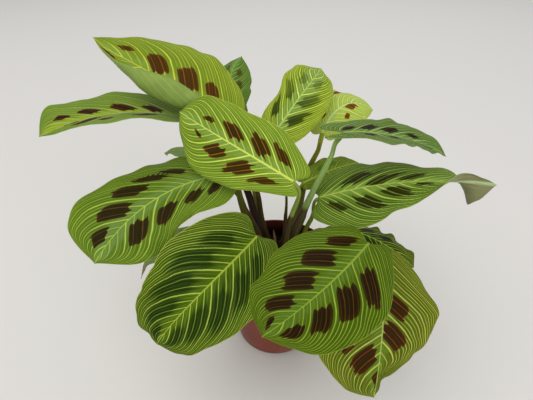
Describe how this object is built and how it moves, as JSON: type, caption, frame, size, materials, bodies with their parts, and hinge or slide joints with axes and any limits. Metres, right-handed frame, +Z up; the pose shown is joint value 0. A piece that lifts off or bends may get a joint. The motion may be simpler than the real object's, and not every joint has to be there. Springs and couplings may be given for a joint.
{
  "type": "potted prayer plant maranta",
  "caption": "Prayer plant with broad arched leaves, feathered veins and dark blotches on curved stalks, growing in dark soil in a plain round tapered nursery pot.",
  "frame": {"origin": "centre of the pot's flat underside, on the surface it stands on", "axes": "+Z up along the pot's axis; +Y away from the viewer of the picture; +X to the right in the picture"},
  "size_m": [0.4101, 0.3453, 0.3181],
  "materials": {
    "terracotta_plastic": "plain brown-red moulded plastic, satin, no lettering",
    "potting_soil": "dark loose peat and bark potting mix, rough",
    "dry_sheath": "dry papery straw-brown leaf sheath",
    "leaf_green": "satin bright green blade, lighter feathered midrib, curved yellow-green side veins, red-brown blotches between them",
    "leaf_young_green": "satin yellow-green young blade, pale feathered midrib, small olive-brown blotches",
    "leaf_dark_green": "satin mid to dark green blade, curved yellow-green side veins",
    "stem_green": "smooth green stalk, red-brown sheath low down",
    "stem_red_brown": "smooth red-brown stalk and sheath, paler towards the blade"
  },
  "bodies": {
    "root": {"pot": "terracotta_plastic", "potting_soil": "potting_soil", "dry_sheath": "dry_sheath", "leaf_upper_left": "leaf_green", "leaf_far_left": "leaf_green", "leaf_back": "leaf_dark_green", "leaf_center": "leaf_green", "leaf_left": "leaf_green", "leaf_front_left": "leaf_dark_green", "leaf_front_right": "leaf_green", "leaf_low_right": "leaf_green", "leaf_small_right": "leaf_dark_green", "leaf_right": "leaf_green", "leaf_upper_right": "leaf_dark_green", "leaf_top": "leaf_young_green", "leaf_young": "leaf_young_green", "leaf_inner_left": "leaf_dark_green", "leaf_inner_right": "leaf_young_green", "leaf_low_left": "leaf_dark_green", "stem_upper_left": "stem_red_brown", "stem_far_left": "stem_red_brown", "stem_back": "stem_green", "stem_center": "stem_red_brown", "stem_left": "stem_red_brown", "stem_front_left": "stem_red_brown", "stem_front_right": "stem_green", "stem_low_right": "stem_green", "stem_small_right": "stem_red_brown", "stem_right": "stem_green", "stem_upper_right": "stem_green", "stem_top": "stem_red_brown", "stem_young": "stem_red_brown", "stem_inner_left": "stem_red_brown", "stem_inner_right": "stem_green", "stem_low_left": "stem_red_brown"}
  },
  "joints": []
}
